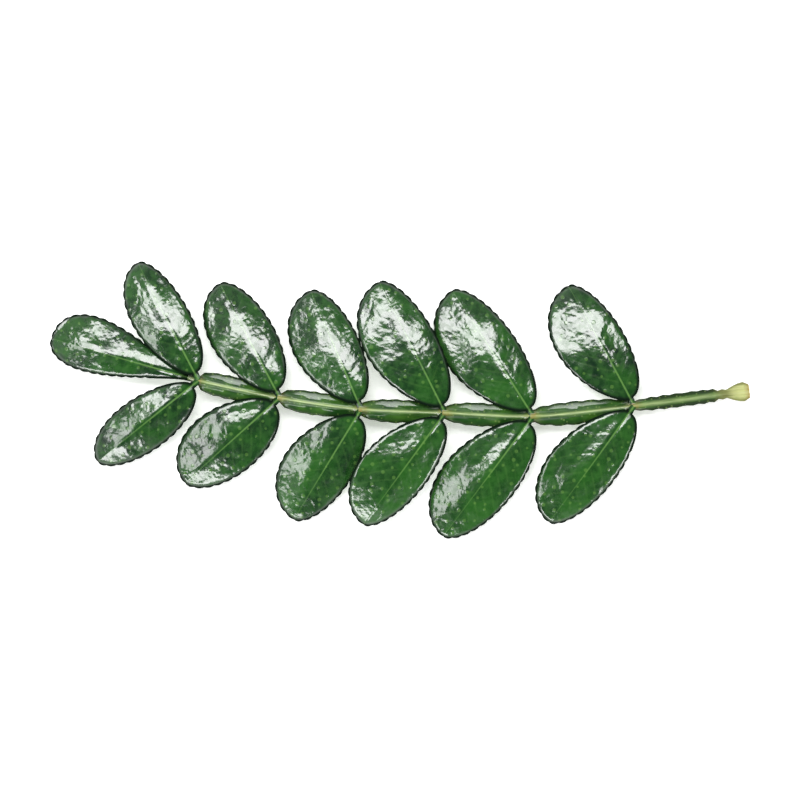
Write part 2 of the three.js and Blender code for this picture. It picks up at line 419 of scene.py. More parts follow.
@dataclass(frozen=True)
class BladeFinish:
    """The glossy upper side of a leaflet, or its paler underside."""

    name: str
    deep: Colour
    fresh: Colour
    light: Colour
    vein: Colour
    dot: Colour
    # rim is the painted shade colour that each leaflet's margin darkens towards
    rim: Colour
    smooth_roughness: float
    rough_roughness: float
    coat: float
    wrinkle: float
    vein_show: float
    dot_show: float
    tint_share: float = 0.4
    scatter: float = 137.0
    dot_relief: float = 0.05
    vein_relief: float = 0.012

    def build(self, effects: SharedEffects) -> Material:
        """Makes the material.

        Args:
            effects: the shared shader groups.

        Returns:
            The material, which reads the leaflet's UV map and its edge and tint attributes.
        """
        material, graph, shader = new_material(self.name)
        place = graph.uv_place("blade")
        axes = graph.add("ShaderNodeSeparateXYZ", {0: place}).outputs
        tint, edge = graph.attribute("tint"), graph.attribute("edge")
        offset = graph.add("ShaderNodeCombineXYZ", {0: graph.times(tint, self.scatter)}).outputs[0]
        scattered = graph.add("ShaderNodeVectorMath", {0: place, 1: offset}, operation="ADD").outputs[0]
        mottle = graph.place_effect(effects.mottle, {"Place": scattered})
        sizes = {"Along": axes["X"], "Across": axes["Y"], "Edge": edge}
        marks = graph.place_effect(effects.blade_marks, sizes)
        sizes = {"Place": scattered, "Dots Per Length": 0.75, "Radius": 0.2}
        dots = graph.place_effect(effects.oil_dots, sizes)["Dots"]
        skin = graph.place_effect(effects.wax_skin, {"Place": scattered})

        patches = graph.times(mottle["Patches"], 1 - self.tint_share)
        patches = graph.math("MULTIPLY_ADD", tint, self.tint_share, patches, clamp=True)
        colour = graph.blend(patches, self.deep, self.fresh)
        layers = (
            (graph.times(mottle["Flecks"], 0.3), self.light),
            (graph.times(marks["Side Veins"], self.vein_show), self.vein),
            (marks["Midrib"], self.vein),
            (graph.times(dots, self.dot_show), self.dot),
            # the margin blends towards the rim colour, a painted shade
            (marks["Painted Edge Shade"], self.rim),
        )
        for share, tone in layers:
            colour = graph.blend(share, colour, tone)
        rough = graph.ramp(mottle["Flecks"], 0.0, 1.0, self.smooth_roughness, self.rough_roughness)
        worn = graph.ramp(mottle["Flecks"], 0.3, 1.0, self.coat, 0.75 * self.coat)
        height = graph.times(skin["Height"], self.wrinkle)
        height = graph.math("MULTIPLY_ADD", dots, self.wrinkle * self.dot_relief, height)
        height = graph.math("MULTIPLY_ADD", marks["Side Veins"], -self.wrinkle * self.vein_relief, height)
        normal = graph.bump(height, 0.1)
        looks = {
            "Base Color": colour,
            "Roughness": graph.math("MAXIMUM", rough, marks["Painted Edge Shade"]),
            "Normal": normal,
            "Specular IOR Level": 0.07,
            "Coat Weight": graph.times(marks["Waxed"], worn),
            "Coat Roughness": 0.15,
            "Coat IOR": 1.75,
            "Coat Normal": normal,
        }
        graph.fill(shader, looks)
        return material


UPPER_FINISH = BladeFinish(
    name="leaflet_upper_side",
    deep=(0.0015, 0.014, 0.005, 1.0),
    fresh=(0.014, 0.08, 0.008, 1.0),
    light=(0.036, 0.12, 0.022, 1.0),
    vein=(0.12, 0.25, 0.06, 1.0),
    dot=(0.12, 0.25, 0.05, 1.0),
    # rim: near-black painted shade along the margin
    rim=(0.002, 0.007, 0.003, 1.0),
    smooth_roughness=0.24,
    rough_roughness=0.4,
    coat=1.0,
    wrinkle=1.5,
    vein_show=0.07,
    dot_show=0.3,
)
UNDER_FINISH = BladeFinish(
    name="leaflet_underside",
    deep=(0.0685, 0.1620, 0.0482, 1.0),
    fresh=(0.1221, 0.2542, 0.0762, 1.0),
    light=(0.2086, 0.3515, 0.1221, 1.0),
    vein=(0.3419, 0.4678, 0.1812, 1.0),
    dot=(0.0648, 0.1384, 0.0296, 1.0),
    # rim: painted shade along the underside's margin
    rim=(0.1022, 0.1812, 0.0612, 1.0),
    smooth_roughness=0.42,
    rough_roughness=0.6,
    coat=0.0,
    wrinkle=0.4,
    vein_show=0.5,
    dot_show=0.6,
)


@dataclass(frozen=True)
class RachisFinish:
    """The rachis: green wings with painted shade along their margins, a paler rib, tan joints, an olive
    neck and a pale knob.
    """

    name: str = "rachis_skin"
    wing_deep: Colour = (0.007, 0.045, 0.005, 1.0)
    wing_fresh: Colour = (0.035, 0.105, 0.011, 1.0)
    rib: Colour = (0.4, 0.5, 0.22, 1.0)
    joint: Colour = (0.24, 0.165, 0.04, 1.0)
    # edge is the painted shade colour that the wing margins darken towards
    edge: Colour = (0.008, 0.02, 0.004, 1.0)
    knob: Colour = (0.42, 0.44, 0.18, 1.0)
    bark: Colour = (0.1, 0.11, 0.026, 1.0)
    dot: Colour = (0.2, 0.3, 0.08, 1.0)

    def build(self, effects: SharedEffects) -> Material:
        """Makes the material.

        Args:
            effects: the shared shader groups.

        Returns:
            The material, which reads the rachis's UV map and the attributes that Rachis writes.
        """
        material, graph, shader = new_material(self.name)
        place = graph.uv_place("rachis")
        rib = graph.attribute("rib")
        streaks = graph.add("ShaderNodeMapping", {"Vector": place, "Scale": (0.35, 4.0, 1.0)}).outputs[0]
        grain = graph.noise(streaks, 1.6, 3.0)
        sizes = {"Place": place, "Patch Scale": 0.5, "Fleck Scale": 2.4}
        mottle = graph.place_effect(effects.mottle, sizes)
        sizes = {"Place": place, "Dots Per Length": 1.3, "Radius": 0.2}
        dots = graph.place_effect(effects.oil_dots, sizes)["Dots"]
        sizes = {"Place": streaks, "Wrinkle Scale": 1.4, "Pit Scale": 4.0}
        skin = graph.place_effect(effects.wax_skin, sizes)

        colour = graph.blend(mottle["Patches"], self.wing_deep, self.wing_fresh)
        layers = (
            # painted shade: the rim attribute darkens the wing margins towards the edge colour
            (graph.attribute("rim"), 0.92, self.edge),
            (rib, graph.ramp(grain, 0.3, 0.6, 0.55, 1.0), self.rib),
            (graph.attribute("knob"), graph.ramp(grain, 0.25, 0.6, 0.7, 1.0), self.knob),
            (graph.attribute("bark"), graph.ramp(grain, 0.35, 0.6, 1.0, 0.8), self.bark),
            (graph.attribute("joint"), graph.ramp(mottle["Flecks"], 0.0, 1.0, 0.55, 1.0), self.joint),
            (dots, graph.math("SUBTRACT", 0.3, rib, clamp=True), self.dot),
        )
        for mask, share, tone in layers:
            colour = graph.blend(graph.times(mask, share), colour, tone)
        height = graph.math("MULTIPLY_ADD", dots, 0.2, skin["Height"])
        looks = {
            "Base Color": colour,
            "Roughness": graph.ramp(grain, 0.3, 0.7, 0.3, 0.5),
            "Normal": graph.bump(height, 0.07, 0.8),
            "Specular IOR Level": 0.12,
            "Coat Weight": graph.attribute("shine"),
            "Coat Roughness": 0.14,
        }
        graph.fill(shader, looks)
        return material


@dataclass(frozen=True)
class CutFinish:
    """The dry face of the cut end: cream pith with tan patches."""

    name: str = "cut_face"
    pith: Colour = (0.7454, 0.6724, 0.4125, 1.0)
    ring: Colour = (0.3916, 0.2623, 0.0887, 1.0)

    def build(self) -> Material:
        """Makes the material.

        Returns:
            The material, which reads the piece's object coordinates.
        """
        material, graph, shader = new_material(self.name)
        place = graph.add("ShaderNodeTexCoord").outputs["Object"]
        grain = graph.noise(place, 2.2 / MM, 4.0)
        looks = {
            "Base Color": graph.blend(graph.ramp(grain, 0.4, 0.62), self.pith, self.ring),
            "Roughness": graph.ramp(grain, 0.3, 0.7, 0.6, 0.85),
            "Normal": graph.bump(grain, 0.12),
        }
        graph.fill(shader, looks)
        return material


@dataclass(frozen=True)
class HalfMargin:
    """One margin of a leaflet from its base to its apex, which runs along +X."""

    length: float
    half: float
    fullest: float
    closing: float
    camber: float = 1.05
    stalk_half: float = 0.35
    teeth_per_length: float = 0.85
    tooth_depth: float = 0.12
    smooth_share: float = 0.2
    samples: int = 2001
    tangent_step: float = 0.004

    @property
    def teeth(self) -> int:
        """How many teeth this margin has."""
        return round(self.length * self.teeth_per_length)

    def plain(self, share: Array) -> tuple[Array, Array]:
        """The margin without teeth.

        Args:
            share: how far round the margin each place is, by length.

        Returns:
            The places and the outward normals there, each as an array of pairs.
        """
        along = np.sin(np.linspace(0.0, math.pi / 2, self.samples))
        opening = self.closing * self.fullest / (1 - self.fullest)
        peak = self.fullest**opening * (1 - self.fullest) ** self.closing
        breadth = along**opening * np.clip(1 - along, 0, 1) ** self.closing / peak
        line = np.stack([along * self.length, self.half * breadth + self.stalk_half * (1 - along)], axis=1)
        run = np.concatenate([[0.0], np.cumsum(np.linalg.norm(np.diff(line, axis=0), axis=1))])
        run /= run[-1]
        place, ahead, behind = (
            np.stack([np.interp(np.clip(share + off, 0, 1), run, line[:, k]) for k in range(2)], axis=1)
            for off in (0.0, self.tangent_step, -self.tangent_step)
        )
        tangent = ahead - behind
        tangent /= np.linalg.norm(tangent, axis=1, keepdims=True)
        return place, np.stack([-tangent[:, 1], tangent[:, 0]], axis=1)

    def toothed(self, share: Array) -> Array:
        """The margin with its blunt teeth.

        Args:
            share: how far round the margin each place is, by length.

        Returns:
            The places, as an array of pairs.
        """
        place, outward = self.plain(share)
        run = np.clip((share - self.smooth_share) / (1 - self.smooth_share), 0.0, 1.0)
        notch = self.tooth_depth * (1 - np.abs(np.sin(math.pi * self.teeth * run)))
        notch *= np.minimum(1.0, run * self.teeth)
        return place - outward * notch[:, None]


@dataclass(frozen=True)
class LeafletForm:
    """A leaflet's driving sizes: tip is its apex's height, and roll how it climbs to its tip side."""

    length: float
    heading: float
    tip_half: float
    stem_half: float
    tip: float
    arch: float
    roll: float
    seed: int
    tip_camber: float = 1.05
    stem_camber: float = 1.05
    tip_curl: float = 0.0
    wave_height: float = 0.09
    lift: float = 0.55
    offset: float = 0.85
    tip_shape: tuple[float, float] = (0.6, 0.5)
    stem_shape: tuple[float, float] = (0.49, 0.56)


@dataclass
class Leaflet:
    """One leaflet: a thin arched blade with a grooved midrib, blunt teeth and rolled margins."""

    node: str
    form: LeafletForm
    place: Array
    left: HalfMargin
    right: HalfMargin
    climb: float
    camber_growth: float = 0.2
    curled_share: float = 0.28
    fold: float = 0.8
    crown: float = 0.1
    groove_depth: float = 0.1
    groove_half: float = 0.22
    rolled_depth: float = 0.2
    rolled_width: float = 0.5
    vein_depth: float = 0.007
    wavelengths: tuple[float, ...] = (7.0, 4.6, 3.1)
    opening: tuple[float, float] = (0.3, 2.0)
    settle_base: float = 0.12
    settle_tip: float = 0.12
    stalk_sink: float = 0.34
    floor_softness: float = 0.04
    blade_thickness: float = 0.26
    margin_share: float = 0.7
    rib_thickness: float = 0.3
    rib_half: float = 0.3
    vein_thickness: float = 0.05
    rim_bevel: float = 0.05
    rim_angle: float = 50.0
    smooth_angle: float = 40.0
    rows_per_tooth: int = 8
    plain_rows: int = 14
    stalk_rows: int = 4
    stalk_length: float = 0.8
    stalk_pinch: float = 0.25
    stalk_inset: float = 0.6
    half_columns: int = 22
    evenness: float = 0.45
    crown_steps: int = 500

    @property
    def base_height(self) -> float:
        """How high the blade's base lies over the floor."""
        return self.place[2] + self.form.lift

    def row_shares(self) -> Array:
        """Spaces the grid's rows.

        Returns:
            How far round the margins each row ends, below 0 for the rows of the stalk.
        """
        smooth = self.left.smooth_share
        stalk = np.linspace(-1.0, 0.0, self.stalk_rows, endpoint=False)
        plain = np.linspace(0.0, smooth, self.plain_rows, endpoint=False)
        toothed = np.linspace(smooth, 1.0, self.left.teeth * self.rows_per_tooth + 1)
        return np.concatenate([stalk, plain, toothed])

    def column_shares(self) -> Array:
        """Spaces the grid's columns, closer together at the midrib and at the margins.

        Returns:
            How far towards a margin each column lies, below 0 on the right.
        """
        even = np.linspace(0.0, 1.0, self.half_columns + 1)
        half = self.evenness * even + (1 - self.evenness) * (1 - np.cos(math.pi * even)) / 2
        return np.concatenate([-half[:0:-1], half])

    def outline_grid(self) -> tuple[Array, Array, Array]:
        """The grid's places in the leaflet's own plane.

        Returns:
            x, y and the distance from the line of the tooth crowns, by row and column.
        """
        shares = self.row_shares()
        columns = self.column_shares()
        clipped = np.clip(shares, 0.0, 1.0)
        left = self.left.toothed(clipped)
        right = self.right.toothed(clipped) * np.array([1.0, -1.0])
        apex = self.left.toothed(np.array([1.0]))[0, 0]
        midrib = np.stack([apex * clipped, np.zeros_like(clipped)], axis=1)
        margin = np.where(columns[None, :, None] >= 0, left[:, None], right[:, None])
        reach = np.abs(columns)[None, :, None]
        grid = midrib[:, None] * (1 - reach) + margin * reach
        crowns = np.linspace(0.0, 1.0, self.crown_steps)
        crown_line = np.concatenate([self.left.plain(crowns)[0], self.right.plain(crowns)[0] * [1.0, -1.0]])
        edge = np.array([np.linalg.norm(row[:, None] - crown_line, axis=2).min(axis=1) for row in grid])
        stalk = np.clip(-shares, 0.0, 1.0)[:, None]
        x = grid[..., 0] - stalk * self.stalk_length
        y = grid[..., 1] * (1 - self.stalk_pinch * stalk)
        return x, y, edge + self.stalk_inset * stalk

    def height(self, x: Array, y: Array, edge: Array) -> Array:
        """Works out the upper face's height over the leaflet's base.

        Args:
            x: places along the midrib.
            y: places across it, above 0 on the left.
            edge: their distances from the line of the tooth crowns.

        Returns:
            The heights.
        """
        form = self.form
        share = np.clip(x / form.length, 0.0, 1.0)
        across = np.abs(y) / max(self.left.half, self.right.half)
        chord = (form.tip - self.base_height) * share
        rise = 4 * form.arch * share * (1 - share)
        grown = np.minimum(1.0, share / self.camber_growth)
        side_camber = np.where(y > 0, self.left.camber, self.right.camber)
        camber = grown * (side_camber * (self.fold * across + (1 - self.fold) * across**2) - self.crown)
        camber += form.tip_curl * np.clip((share - 1) / self.curled_share + 1, 0.0, 1.0) ** 2
        groove = self.groove_depth * hump(y, self.groove_half) * (1 - 0.6 * share)
        opened = smooth_step(x, *self.opening)
        rolled = self.rolled_depth * np.clip(1 - edge / self.rolled_width, 0.0, 1.0) ** 2 * opened
        inner = smooth_step(edge, 0.4, 1.4) * opened
        veins = self.vein_depth * VEINS.strength(x, y) * inner
        draw = np.random.default_rng(form.seed)
        waves = np.zeros_like(x)
        for wavelength in self.wavelengths:
            angle, phase = draw.uniform(0, math.pi), draw.uniform(0, 2 * math.pi)
            run = x * math.cos(angle) + y * math.sin(angle)
            waves += np.sin(2 * math.pi * run / wavelength + phase) * wavelength / (2 * self.wavelengths[0])
        waves *= form.wave_height * opened * smooth_step(np.abs(y), 0.2, 1.6)
        settle = self.settle_base + self.settle_tip * share**2
        sink = self.stalk_sink * np.clip(-x / self.stalk_length, 0.0, 1.0)
        height = chord + rise + self.climb * y - camber - groove - rolled - veins + waves - settle - sink
        lowest = self.thickness(x, y, edge) - self.base_height
        over = height - lowest
        return lowest + 0.5 * (over + np.sqrt(over**2 + self.floor_softness**2))

    def thickness(self, x: Array, y: Array, edge: Array) -> Array:
        """The thickness of a thin lamina whose midrib and side veins stand out below.

        Args:
            x: places along the midrib.
            y: places across it.
            edge: their distances from the line of the tooth crowns.

        Returns:
            The thicknesses.
        """
        share = np.clip(x / self.form.length, 0.0, 1.0)
        rib = self.rib_thickness * hump(y, self.rib_half) * (1 - 0.75 * share)
        veins = self.vein_thickness * VEINS.strength(x, y) * smooth_step(edge, 0.4, 1.3)
        inner = self.margin_share + (1 - self.margin_share) * smooth_step(edge, 0.0, 0.6)
        return self.blade_thickness * inner + rib + veins

    def build(self, materials: list[Material]) -> Piece:
        """Models the leaflet.

        Args:
            materials: the finishes of its upper side, underside and rim.

        Returns:
            The finished piece, with its place in its mesh.
        """
        x, y, edge = self.outline_grid()
        rows, columns = x.shape
        bpy.ops.object.select_all(action="DESELECT")
        bpy.ops.mesh.primitive_grid_add(x_subdivisions=rows - 1, y_subdivisions=columns - 1, size=1.0)
        piece = begin_piece(f"{self.node}_blade")
        mesh = piece.data
        corners = read_values(mesh.vertices, "co", 3)
        at = (even_place(corners[:, 0], rows), even_place(corners[:, 1], columns))
        height = self.height(x, y, edge) + self.base_height
        ahead = direction(self.form.heading)
        base = self.place[:2] + ahead * self.form.offset
        leftward = np.array([-ahead[1], ahead[0]])
        flat = base + x[..., None] * ahead + y[..., None] * leftward
        placed = np.concatenate([flat, height[..., None]], axis=2)[at] * MM
        mesh.vertices.foreach_set("co", placed.ravel())
        edge = edge[at]
        seed = round(self.form.heading * 10 + self.form.length * 100)
        tint = np.full_like(edge, np.random.default_rng(seed).uniform(0, 1))
        write_surface(mesh, "blade", np.stack([x, y], axis=2)[at], {"edge": edge, "tint": tint})
        weld(piece)
        bpy.ops.object.mode_set(mode="OBJECT")
        self.thicken(piece, materials)
        return piece

    def thicken(self, piece: Piece, materials: list[Material]) -> None:
        """Gives the blade its thickness, which follows the midrib, and rounds its rim.

        Args:
            piece: the open blade.
            materials: the finishes of its upper side, underside and rim.
        """
        mesh = piece.data
        flat = np.zeros((len(mesh.vertices), 2))
        uv = read_values(mesh.uv_layers["blade"].data, "uv", 2)
        flat[read_values(mesh.loops, "vertex_index", kind=int)] = uv * UV_SPAN
        edge = read_values(mesh.attributes["edge"].data, "value")
        thickness = self.thickness(flat[:, 0], flat[:, 1], edge)
        thickest = float(thickness.max())
        group = piece.vertex_groups.new(name="thickness")
        for index, value in enumerate(thickness / thickest):
            group.add([index], float(value), "REPLACE")
        for material in materials:
            mesh.materials.append(material)
        solidify = piece.modifiers.new("thickness", "SOLIDIFY")
        solidify.thickness = thickest * MM
        solidify.offset = -1.0
        solidify.vertex_group = "thickness"
        solidify.material_offset = 1
        solidify.material_offset_rim = 2
        bpy.context.view_layer.objects.active = piece
        bpy.ops.object.modifier_apply(modifier=solidify.name)
        bevel = piece.modifiers.new("rounded_rim", "BEVEL")
        bevel.width = self.rim_bevel * MM
        bevel.segments = 2
        bevel.limit_method = "ANGLE"
        bevel.angle_limit = math.radians(self.rim_angle)
        bpy.ops.object.modifier_apply(modifier=bevel.name)
        piece.vertex_groups.clear()
        bpy.ops.object.shade_smooth_by_angle(angle=math.radians(self.smooth_angle))


@dataclass(frozen=True)
class Stretch:
    """One run of the rachis, from the end of the one before."""

    length: float
    heading: float
    crest: float
    node: int = 0


@dataclass
class Rachis:
    """The leaf's axis: petiole, rib, wings and joints in one swept skin."""

    cut_end: tuple[float, float, float] = (36.8, 0.96, 0.93)
    stretches: tuple[Stretch, ...] = (
        Stretch(2.4, 187.3, 0.93),
        Stretch(9.9, 187.3, 1.8, 1),
        Stretch(10.7, 185.8, 2.4, 2),
        Stretch(9.25, 177.8, 2.75, 3),
        Stretch(8.8, 177.6, 2.8, 4),
        Stretch(8.6, 172.0, 2.65, 5),
        Stretch(8.7, 168.0, 2.35, 6),
        Stretch(1.2, 164.2, 2.3),
    )
    wing_half: float = 1.28
    wing_lean: float = 1.3
    wing_bluntness: float = 0.4
    waist_half: float = 0.46
    petiole_half: float = 0.78
    petiole_taper: float = 8.0
    profile_places: tuple[float, ...] = (0.0, 0.4, 0.9, 1.5, 2.3, 3.3, 4.3, 6.4)
    profile_halves: tuple[float, ...] = (0.88, 1.04, 1.06, 0.86, 0.6, 0.56, 0.8, 0.86)
    neck_half: float = 0.28
    wing_teeth: int = 6
    tooth_depth: float = 0.12
    petiole_teeth: int = 8
    petiole_tooth_depth: float = 0.18
    petiole_flatness: float = 0.6
    wing_start: float = 0.8
    least_wing: float = 0.02
    joint_height: float = 0.2
    joint_half: float = 0.5
    joint_length: float = 0.75
    joint_fill: tuple[float, float] = (0.1, 0.07)
    end_rounding: float = 0.2
    end_reach: float = 0.45
    cut_steps: tuple[tuple[float, float], ...] = ((0.12, 0.05), (0.16, -0.12))
    cut_ring: tuple[float, float] = (0.05, 0.45)
    knob_fade: tuple[float, float] = (1.8, 3.6)
    bark_fade: tuple[float, float] = (3.2, 3.8)
    neck_place: float = 2.6
    neck_reach: float = 0.8
    wing_fade: tuple[float, float] = (9.5, 12.5)
    underside: float = -0.5
    underside_shift: float = 3.0
    smooth_angle: float = 45.0
    steps_per_length: float = 5.0
    wing_section: tuple[tuple[float, float], ...] = (
        (0.0, -0.13), (0.13, -0.09), (0.25, 0.0), (0.35, -0.05), (0.43, -0.2),
        (0.3, -0.27), (0.7, -0.33), (0.93, -0.4), (1.0, -0.46), (0.93, -0.53),
        (0.5, -0.56), (0.46, -0.64), (0.36, -0.82), (0.2, -0.96), (0.0, -1.0),
    )
    petiole_section: tuple[tuple[float, float], ...] = (
        (0.0, -0.16), (0.16, -0.11), (0.3, 0.0), (0.4, -0.03), (0.48, -0.12),
        (0.62, -0.16), (0.72, -0.2), (0.77, -0.3), (0.78, -0.42), (0.75, -0.56),
        (0.67, -0.74), (0.56, -0.92), (0.42, -1.08), (0.22, -1.2), (0.0, -1.24),
    )
    first_wing_corner: int = 5
    last_wing_corner: int = 10
    course: Array = field(init=False)

    def __post_init__(self) -> None:
        """Works out the course: the cut end and the end of each stretch."""
        places = [np.array(self.cut_end)]
        for stretch in self.stretches:
            step = direction(stretch.heading) * stretch.length
            places.append(np.array([*(places[-1][:2] + step), stretch.crest]))
        self.course = np.array(places)

    def node_place(self, node: int) -> Array:
        """Where a node lies on the rib's crest."""
        index = next(i for i, stretch in enumerate(self.stretches) if stretch.node == node)
        return self.course[index + 1]

    def centre(self, span: float) -> tuple[Array, Array]:
        """A point of the smooth centreline and the direction there.

        Args:
            span: how many stretches from the cut end, with the share of the one it lies in.

        Returns:
            The place and the unit tangent.
        """
        index = min(int(span), len(self.stretches) - 1)
        share = span - index
        points = [self.course[min(max(index + k, 0), len(self.stretches))].copy() for k in (-1, 0, 1, 2)]
        if index == 0:
            points[0] = 2 * points[1] - points[2]
        if index == len(self.stretches) - 1:
            points[3] = 2 * points[2] - points[1]
        gaps = [max(1e-6, float(np.linalg.norm(points[k + 1] - points[k])) ** 0.5) for k in range(3)]
        slopes = []
        for k, (before, middle, after) in enumerate((points[:3], points[1:])):
            slope = (middle - before) / gaps[k] - (after - before) / (gaps[k] + gaps[k + 1])
            slopes.append((slope + (after - middle) / gaps[k + 1]) * gaps[1])
        start, end = slopes
        bend = -3 * points[1] + 3 * points[2] - 2 * start - end
        close = 2 * points[1] - 2 * points[2] + start + end
        place = points[1] + start * share + bend * share**2 + close * share**3
        tangent = start + 2 * bend * share + 3 * close * share**2
        return place, tangent / np.linalg.norm(tangent)

    def petiole_breadth(self, distance: float) -> float:
        """Half breadth of the petiole, eased from place to place.

        Args:
            distance: how far from the cut end.

        Returns:
            The half breadth.
        """
        spread = np.linspace(-0.35, 0.35, 9)
        halves = np.interp(np.maximum(0.0, distance + spread), self.profile_places, self.profile_halves)
        return float(halves.mean())

    def half_breadth(self, index: int, share: float) -> float:
        """Half breadth of the rachis.

        Args:
            index: the stretch.
            share: how far along it, from 0 to 1.

        Returns:
            The half breadth.
        """
        if index == 0:
            return self.petiole_breadth(share * self.stretches[0].length)
        if index == 1:
            petiole = self.petiole_breadth(self.stretches[0].length + share * self.stretches[1].length)
            return petiole + (self.waist_half - petiole) * share**self.petiole_taper
        if index == len(self.stretches) - 1:
            return self.waist_half + (self.neck_half - self.waist_half) * min(1.0, share * 2)
        fullness = max(0.0, math.sin(math.pi * share**self.wing_lean)) ** self.wing_bluntness
        notch = self.tooth_depth * (1 - abs(math.sin(math.pi * self.wing_teeth * share)))
        half = self.waist_half + (self.wing_half - self.waist_half) * fullness - notch
        return max(self.waist_half, half)

    def section(self, index: int, share: float, swelling: float) -> Array:
        """The skin's ring of corners, from the top of the channel round by the left.

        Args:
            index: the stretch.
            share: how far along it, from 0 to 1.
            swelling: how near a joint is, from 0 to 1.

        Returns:
            Each corner's side and height.
        """
        half = self.half_breadth(index, share)
        root = self.wing_section[self.first_wing_corner - 1][0]
        wing = np.array(self.wing_section)
        wing_corners = slice(self.first_wing_corner, self.last_wing_corner + 1)
        wing[wing_corners, 0] = root + np.maximum(self.least_wing, half - root) * wing[wing_corners, 0]
        petiole = np.array(self.petiole_section)
        petiole[:, 0] *= half / self.petiole_half
        flatness = self.petiole_flatness
        petiole[:, 1] *= flatness + (1 - flatness) * half / self.petiole_half
        if index == 1:
            wave = abs(math.cos(math.pi * self.petiole_teeth * share))
            petiole[wing_corners, 0] -= self.petiole_tooth_depth * wave
        blend = float(smooth_step(np.array(index + share), 1 + self.wing_start, 2.0))
        left = petiole * (1 - blend) + wing * blend
        if index == len(self.stretches) - 1:
            left[:, 0] = np.minimum(left[:, 0], half)
        upper = left[:, 1] > self.underside
        left[:, 1] += swelling * self.joint_height * hump(left[:, 0], self.joint_half) * upper
        left[:2, 1] += swelling * np.array(self.joint_fill)
        if index == 0:
            from_cut = share * self.stretches[0].length
            left *= 1 - self.end_rounding * max(0.0, 1 - from_cut / self.end_reach) ** 2
        right = left[-2:0:-1] * np.array([-1.0, 1.0])
        return np.concatenate([left, right])

    def lay_rings(self) -> tuple[Array, Array, Array]:
        """Lays the skin's rings along the centreline.

        Returns:
            The rings' places, their [side, height] corners, and how near each is to a joint.
        """
        rings, sections, swellings = [], [], []
        for index, stretch in enumerate(self.stretches):
            steps = max(4, round(stretch.length * self.steps_per_length))
            is_last = index == len(self.stretches) - 1
            for step in range(steps + 1 if is_last else steps):
                share = step / steps
                before = share * stretch.length if index and self.stretches[index - 1].node else math.inf
                after = (1 - share) * stretch.length if stretch.node else math.inf
                swelling = float(hump(min(before, after), self.joint_length))
                place, tangent = self.centre(index + share)
                side = np.array([-tangent[1], tangent[0]]) / math.hypot(tangent[0], tangent[1])
                corners = self.section(index, share, swelling)
                flat = place[:2] + corners[:, :1] * side
                rings.append(np.column_stack([flat, np.maximum(0.0, place[2] + corners[:, 1])]))
                sections.append(corners)
                swellings.append(swelling)
        return np.array(rings), np.array(sections), np.array(swellings)

    def build(self, skin: Material, cut: Material) -> Piece:
        """Models the rachis from a cylinder whose rings are laid along the centreline.

        Args:
            skin: the finish of its outside.
            cut: the finish of its cut face.

        Returns:
            The finished piece.
        """
        rings, sections, swellings = self.lay_rings()
        count, size = rings.shape[:2]
        bpy.ops.object.select_all(action="DESELECT")
        bpy.ops.mesh.primitive_cylinder_add(vertices=size, radius=1.0, depth=1.0, end_fill_type="NGON")
        piece = begin_piece("winged_rachis_skin")
        mesh = piece.data
        self.select_long_edges(piece)
        bpy.ops.object.mode_set(mode="EDIT")
        bpy.ops.mesh.subdivide(number_cuts=count - 2)
        bpy.ops.object.mode_set(mode="OBJECT")
        corners = read_values(mesh.vertices, "co", 3)
        turn = np.arctan2(corners[:, 1], corners[:, 0]) / (2 * math.pi) * size
        at_corner = np.rint(turn - turn.min()).astype(int) % size
        at = (even_place(corners[:, 2], count), at_corner)
        mesh.vertices.foreach_set("co", (rings[at] * MM).ravel())
        self.record_surface(mesh, rings, sections, swellings, at)
        self.close_ends(piece, skin, cut)
        return piece

    @staticmethod
    def select_long_edges(piece: Piece) -> None:
        """Selects the edges that run from one end to the other.

        Args:
            piece: the cylinder.
        """
        mesh = piece.data
        bpy.ops.object.mode_set(mode="EDIT")
        bpy.ops.mesh.select_all(action="DESELECT")
        bpy.ops.object.mode_set(mode="OBJECT")
        for edge in mesh.edges:
            low, high = (mesh.vertices[index].co.z for index in edge.vertices)
            edge.select = abs(low - high) > 0.5

    def record_surface(
        self, mesh: Mesh, rings: Array, sections: Array, swellings: Array, at: tuple[Array, Array]
    ) -> None:
        """Writes the rachis's UV map and the attributes that its finish reads.

        Args:
            mesh: the laid skin.
            rings: every ring's places.
            sections: every ring's [side, height] corners.
            swellings: how near each ring is to a joint, from 0 to 1.
            at: each vertex's ring, and its corner on the ring.
        """
        middle = rings.mean(axis=1)
        run = np.concatenate([[0.0], np.cumsum(np.linalg.norm(np.diff(middle, axis=0), axis=1))])
        from_cut = run[at[0]]
        side, depth = sections[at].T
        share = np.abs(side) / np.abs(sections[..., 0]).max(axis=1)[at[0]]
        under = depth < self.underside
        winged = smooth_step(from_cut, *self.wing_fade)
        rib = (0.58 + 0.32 * winged) * hump(side, 0.21 - 0.09 * winged)
        rib = np.where(under, 0.8 * hump(side, 0.45), rib)
        joint = 0.9 * swellings[at[0]] ** 2 * hump(side, 0.4)
        joint = np.maximum(joint, 0.9 * (1 - smooth_step(from_cut, *self.cut_ring)))
        knob = 1 - smooth_step(from_cut, *self.knob_fade)
        # rim is a painted shade mask: it rises towards the wing margins and fades out at the knob
        inner = 0.34 + 0.32 * winged
        rim = smooth_step(share, inner, inner + 0.26) * (1 - knob)
        bark = smooth_step(share, 0.5, 0.95) * (1 - smooth_step(from_cut, *self.bark_fade))
        bark = np.maximum(bark, 0.95 * hump(from_cut - self.neck_place, self.neck_reach))
        shine = (1 - rim) * (1 - 0.6 * rib) * (0.2 + 0.65 * winged)
        places = np.stack([from_cut, side + under * self.underside_shift], axis=1)
        marks = {"rib": rib, "joint": joint, "rim": rim, "knob": knob, "bark": bark, "shine": shine}
        write_surface(mesh, "rachis", places, marks)

